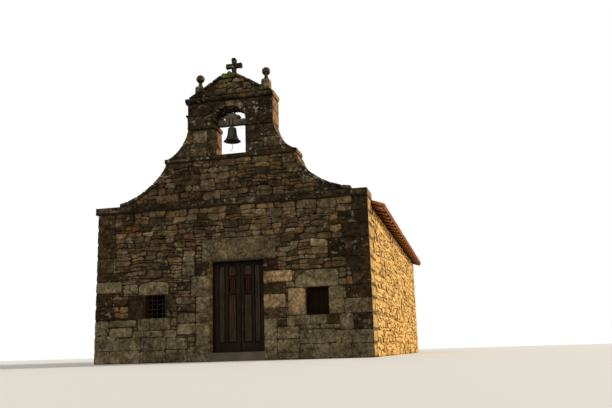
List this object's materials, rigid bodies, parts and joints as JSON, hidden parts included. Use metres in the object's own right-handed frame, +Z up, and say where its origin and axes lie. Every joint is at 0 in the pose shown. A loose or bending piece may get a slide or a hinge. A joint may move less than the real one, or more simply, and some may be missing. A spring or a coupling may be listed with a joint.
{
  "type": "small stone chapel",
  "caption": "Small rubble-stone chapel with a curved bell gable, a hung bell that swings, a double door that opens, and a tiled gable roof.",
  "frame": {"origin": "middle of the footprint with the eaves, on the ground under the walls", "axes": "+Z up, the front with the door and bell gable faces -Y, the side walls run along Y, +X is to the right seen from the front"},
  "size_m": [7.448, 12.945, 7.565],
  "materials": {
    "rubble_stone": "matte",
    "warm_stone": "matte",
    "dressed_stone": "matte",
    "belfry_stone": "matte",
    "timber": "matte",
    "door_wood": "satin",
    "roof_tile": "matte",
    "iron": "matte",
    "bronze": "matte",
    "rope": "matte"
  },
  "bodies": {
    "chapel": {"floor": "dressed_stone", "threshold": "dressed_stone", "front_wall_left": "rubble_stone", "front_wall_right": "rubble_stone", "front_wall_over_door": "rubble_stone", "left_side_wall": "warm_stone", "right_side_wall": "warm_stone", "rear_wall": "warm_stone", "door_jambs": "dressed_stone", "door_lintel": "dressed_stone", "door_back_lintel": "dressed_stone", "window_lintels": "dressed_stone", "window_jambs": "dressed_stone", "window_sills": "dressed_stone", "right_window_board": "door_wood", "lower_string_course": "belfry_stone", "gable_wall": "rubble_stone", "gable_copings": "belfry_stone", "upper_string_course": "belfry_stone", "belfry_piers": "belfry_stone", "belfry_shoulders": "belfry_stone", "bell_arch": "belfry_stone", "belfry_cornice": "belfry_stone", "pediment": "belfry_stone", "pediment_coping": "belfry_stone", "ball_finials": "belfry_stone", "cross_block": "belfry_stone", "cross": "belfry_stone", "ridge_beam": "timber", "rafters": "timber", "roof_boards": "timber", "left_roof_tiles": "roof_tile", "right_roof_tiles": "roof_tile", "ridge_tiles": "roof_tile", "door_pintles": "iron", "yoke_bearings": "iron"},
    "left_door": {"left_door_leaf": "door_wood", "left_door_ironwork": "iron"},
    "right_door": {"right_door_leaf": "door_wood", "right_door_ironwork": "iron"},
    "swinging_bell": {"bell_yoke": "timber", "yoke_ironwork": "iron", "bell": "bronze"},
    "clapper_and_rope": {"clapper": "iron", "bell_rope": "rope"}
  },
  "joints": [
    {"name": "left_door_hinge", "type": "hinge", "parent": "chapel", "child": "left_door", "pos_m": [-0.477, -6.0915, 1.29], "axis": [0, 0, 1], "range_deg": [0, 90]},
    {"name": "right_door_hinge", "type": "hinge", "parent": "chapel", "child": "right_door", "pos_m": [0.917, -6.0915, 1.29], "axis": [0, 0, -1], "range_deg": [0, 90]},
    {"name": "bell_swing", "type": "hinge", "parent": "chapel", "child": "swinging_bell", "pos_m": [0.08, -6.1325, 5.79], "axis": [1, 0, 0], "range_deg": [-60, 60]},
    {"name": "clapper_swing", "type": "hinge", "parent": "swinging_bell", "child": "clapper_and_rope", "pos_m": [0.05, -6.1325, 5.63], "axis": [1, 0, 0], "range_deg": [-20, 20]}
  ]
}
